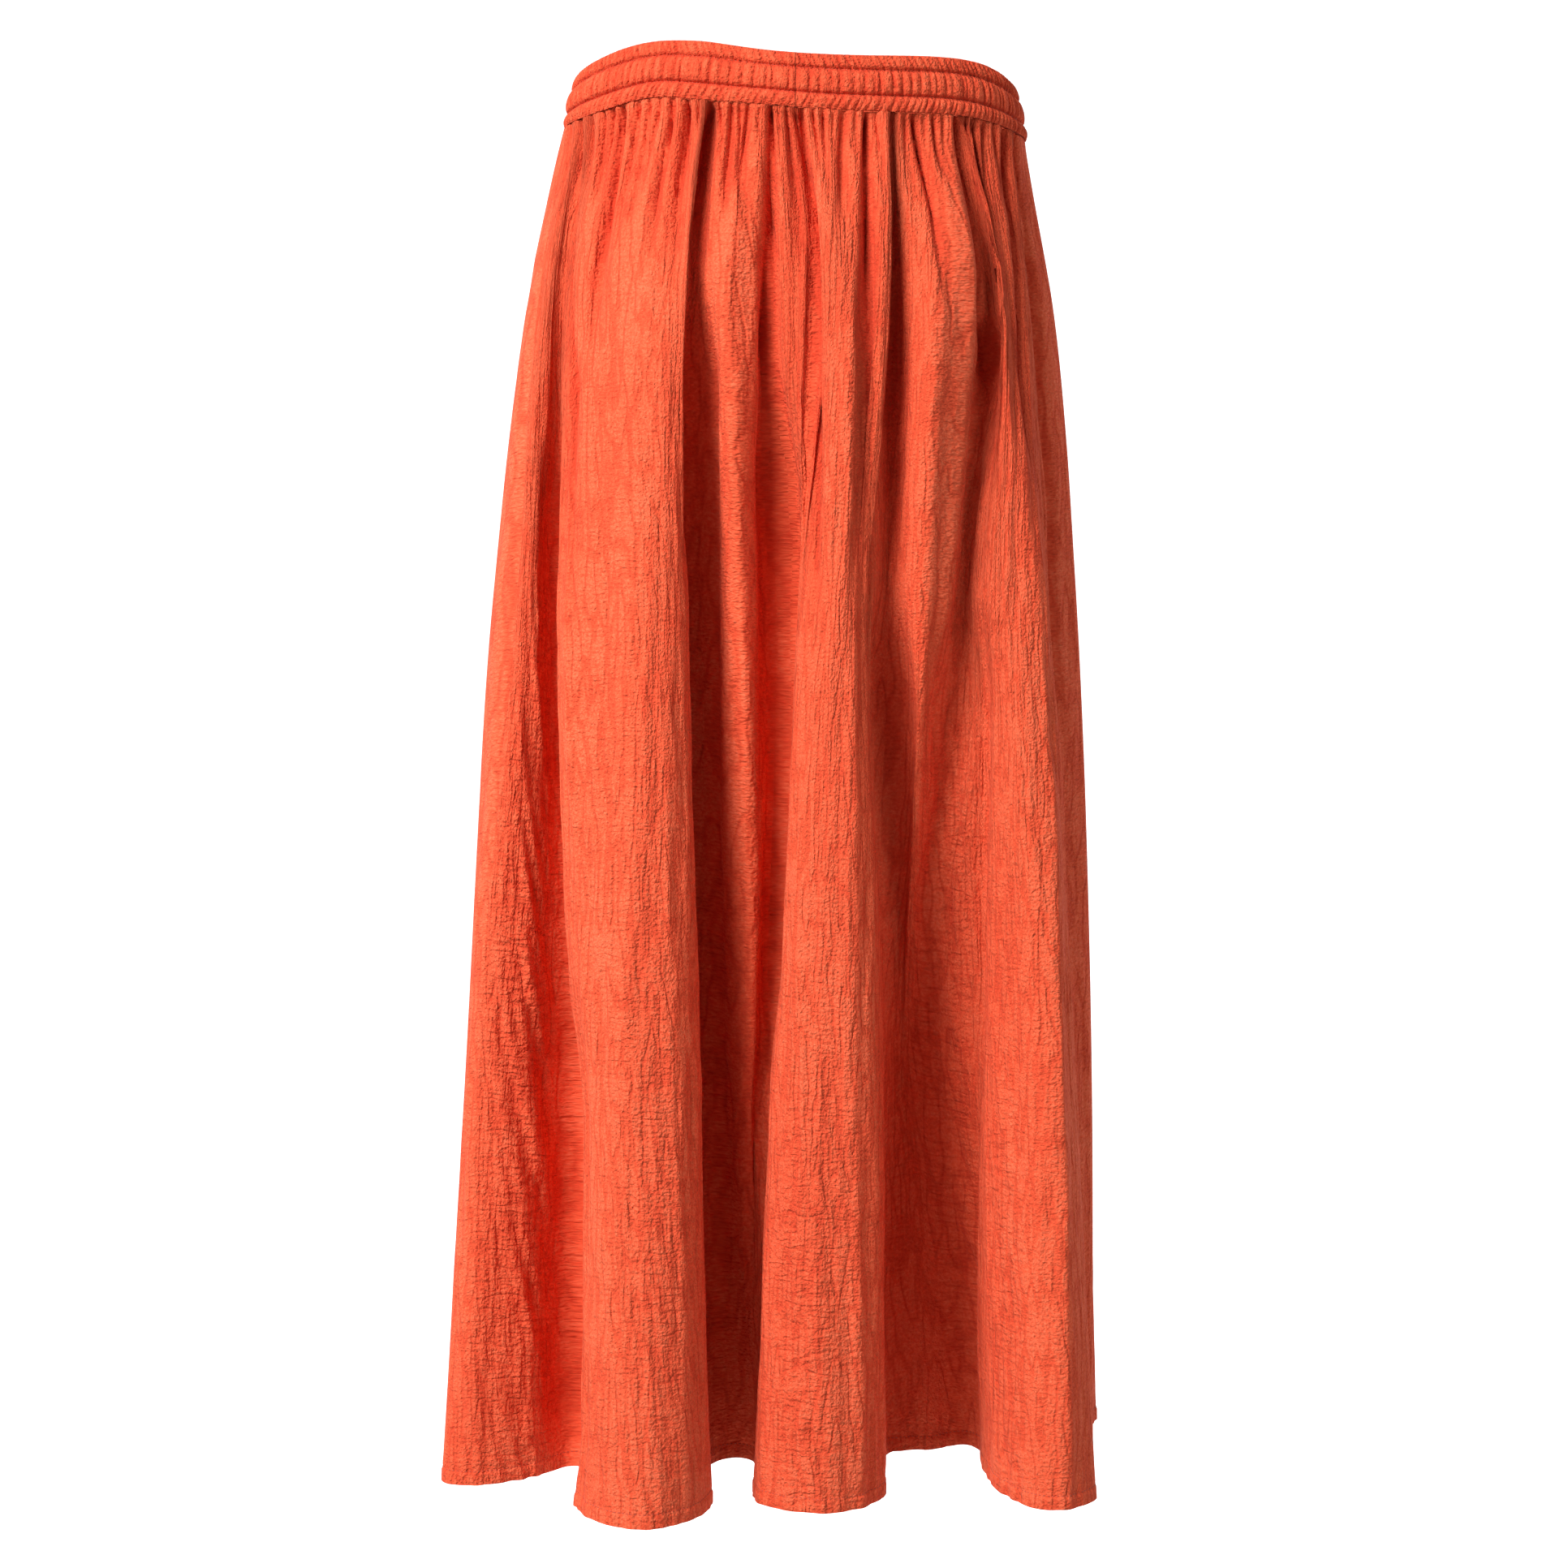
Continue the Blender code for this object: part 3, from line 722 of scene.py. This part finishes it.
# waistband: cloth gathered over three flat elastics, sewn between them
band = {
    "columns": 1200,
    "thick": 4.0,                       # mm through cloth and elastic
    "taper": (7.0, 6.0),                # mm that its top is narrower, each side and front
    "stitchLines": (9.7, 25.2),         # mm above its lower edge
    "height": 34.0,
    "rings": (14, 18, 13),              # rings of points in each row, from the lowest up
    "ringStep": 0.8,                    # mm of cloth from ring to ring
    "slack": 1.4,                       # mm of cloth gathered into each mm
    "puckered": 0.4,
    "stitchSink": (1.1, 1.1),           # mm deep, mm to either side
    "rows": (
        # from the lowest up: pitch of the gathers in mm, lean, groove depth, bulge and step out in mm,
        # and how round the bulge is
        (3.9, -0.45, 1.9, 1.7, 0.2, 0.9),
        (5.4, -0.05, 2.2, 2.8, 0.2, 0.6),
        (3.9, 0.40, 1.9, 2.2, 0.0, 0.6),
    ),
}


def grooved(seed, pitch, around, length):       # narrow grooves at uneven places round a ring, 0 to 1 deep
    rng = np.random.default_rng(seed)
    count = int(length / pitch)
    edges = np.sort((np.arange(count) + rng.uniform(-0.32, 0.32, count)) * length / count % length)
    deep = rng.uniform(0.5, 1.0, count)
    wide = rng.uniform(0.55, 1.0, count) * pitch * 0.22
    spot = around % length
    k = np.searchsorted(edges, spot)
    total = np.zeros(around.shape)
    for near in (k - 2, k - 1, k, k + 1):
        near = near % count
        off = np.abs(spot - edges[near])
        off = np.minimum(off, length - off)
        total = np.maximum(total, deep[near] * np.exp(-off / wide[near]))
    return total


def bandShape():
    low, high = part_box("waistband")
    wide = (high.x - low.x) / 2 / mm - 3.0
    deep = (high.y - low.y) / 2 / mm - 3.0
    turn = np.linspace(0, 2 * np.pi, band["columns"], endpoint=False)
    length = np.pi * (wide + deep)
    around = turn / (2 * np.pi) * length
    edges = (0.0,) + band["stitchLines"] + (band["height"],)
    heights = []
    for start, end, steps in zip(edges, edges[1:], band["rings"]):
        heights += list(np.linspace(start, end, steps, endpoint=False))
    heights = np.array(heights + [band["height"] - 0.4])
    sinkDepth, sinkWidth = band["stitchSink"]
    section = []
    paintedCreaseShade = []
    for h in heights:
        row = min(np.searchsorted(edges, h, side="right") - 1, 2)
        pitch, lean, groove, bulge, step, roundness = band["rows"][row]
        share = (h - edges[row]) / (edges[row + 1] - edges[row])
        swell = math.sin(math.pi * min(share, 0.97)) ** roundness
        if row == 2:                    # the top row is flatter towards its open edge
            swell = math.sin(math.pi * (0.08 + 0.84 * share)) ** roundness * (1 - 0.35 * share)
        cut = grooved(60 + row, pitch, around + lean * (h - edges[row]), length)
        slow = softNoise(70 + row, around / 22, np.full(len(around), h / 14))
        out = bulge * swell * (1 + 0.18 * slow) - groove * cut * (0.5 + 0.5 * swell)
        sunk = sum(math.exp(-((h - line) / sinkWidth) ** 2) for line in band["stitchLines"])
        section.append((h, out + step - sinkDepth * sunk))
        # painted shade in the gather grooves and along the stitch lines
        paintedCreaseShade.append(np.clip(0.9 * cut + 0.7 * sunk, 0, 1))
    rings = [(h, band["thick"] / 2 + out) for h, out in section]
    topOut = section[-1][1]             # from here over the top edge and down the inside
    rings.append((band["height"] + 0.5, band["thick"] / 2 - 1.2 + 0.5 * topOut))
    rings.append((band["height"] + 0.6, np.full(len(around), -0.2)))
    rings.append((band["height"] - 0.2, np.full(len(around), -1.6)))
    for h in (29, 25, 20, 15, 10, 5, 1):
        ripple = 0.5 * softNoise(80, around / 5, np.full(len(around), h / 12))
        rings.append((h, -band["thick"] / 2 + ripple))
    rings.append((0.1, np.full(len(around), -0.6)))
    points = []
    for h, out in rings:
        share = h / band["height"]
        a = wide - band["taper"][0] * share
        b = deep - band["taper"][1] * share
        flat = np.stack([a * np.sin(turn), -b * np.cos(turn)], axis=1)
        side = np.stack([b * np.sin(turn), -a * np.cos(turn)], axis=1)
        side /= np.linalg.norm(side, axis=1, keepdims=True)
        angles = np.degrees(turn)
        angles = np.where(angles > 270, angles - 360, angles)
        z = h - band["height"] / 2 + waistRise(angles, share)
        points.append(np.concatenate([flat + side * out[:, None], z[:, None]], axis=1) * mm)
    paintedCreaseShade += [np.zeros(len(around))] * (len(rings) - len(paintedCreaseShade))
    return np.array(points), around, heights, np.array(paintedCreaseShade)


bandPoints, bandAround, bandHeights, bandPaintedShade = bandShape()
ringCount, bandColumns = bandPoints.shape[:2]
bandFaces = []
for r in range(ringCount):
    a = r * bandColumns
    b = ((r + 1) % ringCount) * bandColumns
    for c in range(bandColumns):
        d = (c + 1) % bandColumns
        bandFaces.append((a + c, a + d, b + d, b + c))
acrossBand = np.broadcast_to(bandAround * mm * band["slack"], (ringCount, bandColumns))
downBand = np.broadcast_to((np.arange(ringCount) * band["ringStep"] * mm)[:, None], (ringCount, bandColumns))
bandUv = np.stack([acrossBand, downBand], axis=2).reshape(-1, 2)
bandShading = {"puckered": np.full(ringCount * bandColumns, band["puckered"]), "paintedCreaseShade": bandPaintedShade.ravel()}
waistband = meshPiece("waistband_cloth", bandPoints.reshape(-1, 3), bandFaces, bandGauze, bandUv, bandShading)
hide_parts("waistband")
print("waistband built")


# sewing: each stitch is a short piece of thread that dips into the cloth at both ends
def stitching(name, path, outward, pitch, length, radius):
    steps = np.linalg.norm(np.diff(path, axis=0), axis=1)
    run = np.concatenate([[0], np.cumsum(steps)])
    starts = np.arange(0.5 * pitch, run[-1] / mm - pitch, pitch) * mm
    rings = []
    for share, lift, thick in ((0, -0.12, 0.4), (0.25, 0.16, 1), (0.75, 0.16, 1), (1, -0.12, 0.4)):
        at = starts + share * length * mm
        spot = np.stack([np.interp(at, run, path[:, i]) for i in range(3)], axis=1)
        out = np.stack([np.interp(at, run, outward[:, i]) for i in range(3)], axis=1)
        ahead = np.stack([np.interp(at + 0.2 * mm, run, path[:, i]) for i in range(3)], axis=1) - spot
        side = np.cross(ahead, out)
        side /= np.maximum(np.linalg.norm(side, axis=1, keepdims=True), 1e-12)
        middle = spot + out * lift * mm
        r = radius * thick * mm
        corners = [middle + out * r, middle + side * r, middle - out * r, middle - side * r]
        rings.append(np.stack(corners, axis=1))
    points = np.stack(rings, axis=1).reshape(-1, 3)
    faces = []
    for s in range(len(starts)):
        o = s * 16
        for k in range(3):
            for e in range(4):
                f = (e + 1) % 4
                faces.append((o + 4 * k + e, o + 4 * k + f, o + 4 * k + 4 + f, o + 4 * k + 4 + e))
        faces += [(o + 3, o + 2, o + 1, o), (o + 12, o + 13, o + 14, o + 15)]
    return meshPiece(name, points, faces, thread, sharpAngle=80)


def hemPath(columns):
    at = drops[-1] - hem["turnUp"]
    r = int(np.searchsorted(drops, at))
    t = (at - drops[r - 1]) / (drops[r] - drops[r - 1])
    path = cloth[r - 1, columns] * (1 - t) + cloth[r, columns] * t
    return path, clothNormals[r, columns]


frontHem = stitching("front_hem_stitching", *hemPath(slice(0, count)), *sewing["hemStitch"])
backHem = stitching("back_hem_stitching", *hemPath(slice(count, 2 * count)), *sewing["hemStitch"])
bandNormals = outwardOf(bandPoints[::-1], closed=True)[::-1]
for number, line in enumerate(band["stitchLines"]):
    r = int(np.argmin(np.abs(bandHeights - line)))
    closedPath = np.concatenate([bandPoints[r], bandPoints[r, :1]])
    closedOut = np.concatenate([bandNormals[r], bandNormals[r, :1]])
    name = "waistband_stitching_%d" % (number + 1)
    stitching(name, closedPath, closedOut, *sewing["bandStitch"])
print("sewing done")


# pale paper floor that sweeps up behind, and soft studio light with its main box at the left front
studio = {
    "floor": -1.35,
    "paper": "#CFCECB",
    "glow": 1.0,                        # the paper behind glows by its own emission, more towards the back: painted light standing in for light through it
    # place, aim, size, watts, spread in degrees
    "key": ((-1.55, -1.9, 1.25), (0, 0, -0.5), 1.4, 20, 60),
    "low": ((-1.0, -2.8, -0.3), (0, 0, -0.4), 1.2, 1.0, 60),
    "side": ((-2.9, -0.2, 0.2), (0, 0, -0.42), 1.4, 2.2, 60),
    "right": ((2.3, -1.9, 0.3), (0, 0, -0.42), 1.2, 2.4, 60),
    "worldBright": ((-0.1, 0.97, 0.2), 0.75),       # the studio is pale behind
    "worldDark": 0.01,
}


def paperSweep():
    profile = [(-4.0, 0.0), (1.6, 0.0)]
    profile += [(1.6 + 1.2 * math.sin(a), 1.2 - 1.2 * math.cos(a)) for a in np.linspace(0.1, math.pi / 2, 14)]
    profile += [(2.8, 4.5)]
    points = np.array([(x, y, z + studio["floor"]) for y, z in profile for x in (-6.0, 6.0)])
    faces = [(2 * k, 2 * k + 1, 2 * k + 3, 2 * k + 2) for k in range(len(profile) - 1)]
    material = newMaterial("matt_paper_backdrop")
    tree = material.node_tree
    place = addNode(tree, "ShaderNodeTexCoord", {}).outputs["Object"]
    grain = addNode(tree, "ShaderNodeTexNoise", {"Vector": place, "Scale": 300.0})
    bump = addNode(tree, "ShaderNodeBump", {"Strength": 0.05, "Distance": 0.0005, "Height": grain})
    apart = addNode(tree, "ShaderNodeSeparateXYZ", {0: place})
    # painted light: the sweep's emission rises from none in front to full from 0.8 m behind
    glow = addNode(tree, "ShaderNodeMapRange", {"Value": apart.outputs["Y"], "From Min": 0.1, "From Max": 0.8,
                                                "To Min": 0.0, "To Max": studio["glow"]})
    shader = addNode(tree, "ShaderNodeBsdfPrincipled",
                     {"Base Color": hexColor(studio["paper"]), "Roughness": 0.9, "Normal": bump,
                      "Emission Color": (1, 1, 1, 1), "Emission Strength": glow})
    addNode(tree, "ShaderNodeOutputMaterial", {"Surface": shader})
    mesh = bpy.data.meshes.new("paper_backdrop")
    mesh.from_pydata(points.tolist(), [], faces)
    mesh.shade_smooth()
    mesh.materials.append(material)
    sweep = bpy.data.objects.new("paper_backdrop", mesh)
    bpy.context.scene.collection.objects.link(sweep)


def softBox(name, place, target, size, watts, spread):
    data = bpy.data.lights.new(name, "AREA")
    data.shape = "SQUARE"
    data.size = size
    data.energy = watts
    data.spread = math.radians(spread)
    lamp = bpy.data.objects.new(name, data)
    lamp.location = place
    lamp.rotation_euler = (Vector(target) - Vector(place)).to_track_quat("-Z", "Y").to_euler()
    bpy.context.scene.collection.objects.link(lamp)


def studioWorld():
    world = bpy.data.worlds.new("studio")
    world.use_nodes = True
    tree = world.node_tree
    tree.nodes.clear()
    way = addNode(tree, "ShaderNodeTexCoord", {}).outputs["Generated"]
    bright, strength = studio["worldBright"]
    facing = addNode(tree, "ShaderNodeVectorMath", {0: way, 1: bright}, operation="DOT_PRODUCT")
    level = addNode(tree, "ShaderNodeMapRange", {"Value": facing.outputs["Value"], "From Min": -0.3,
                                                 "From Max": 0.8, "To Min": studio["worldDark"],
                                                 "To Max": strength})
    glow = addNode(tree, "ShaderNodeBackground", {"Color": (1, 1, 1, 1), "Strength": level})
    addNode(tree, "ShaderNodeOutputWorld", {"Surface": glow})
    bpy.context.scene.world = world


paperSweep()
for name in ("key", "low", "side", "right"):
    softBox(name + "_light", *studio[name])
studioWorld()
print("studio set")
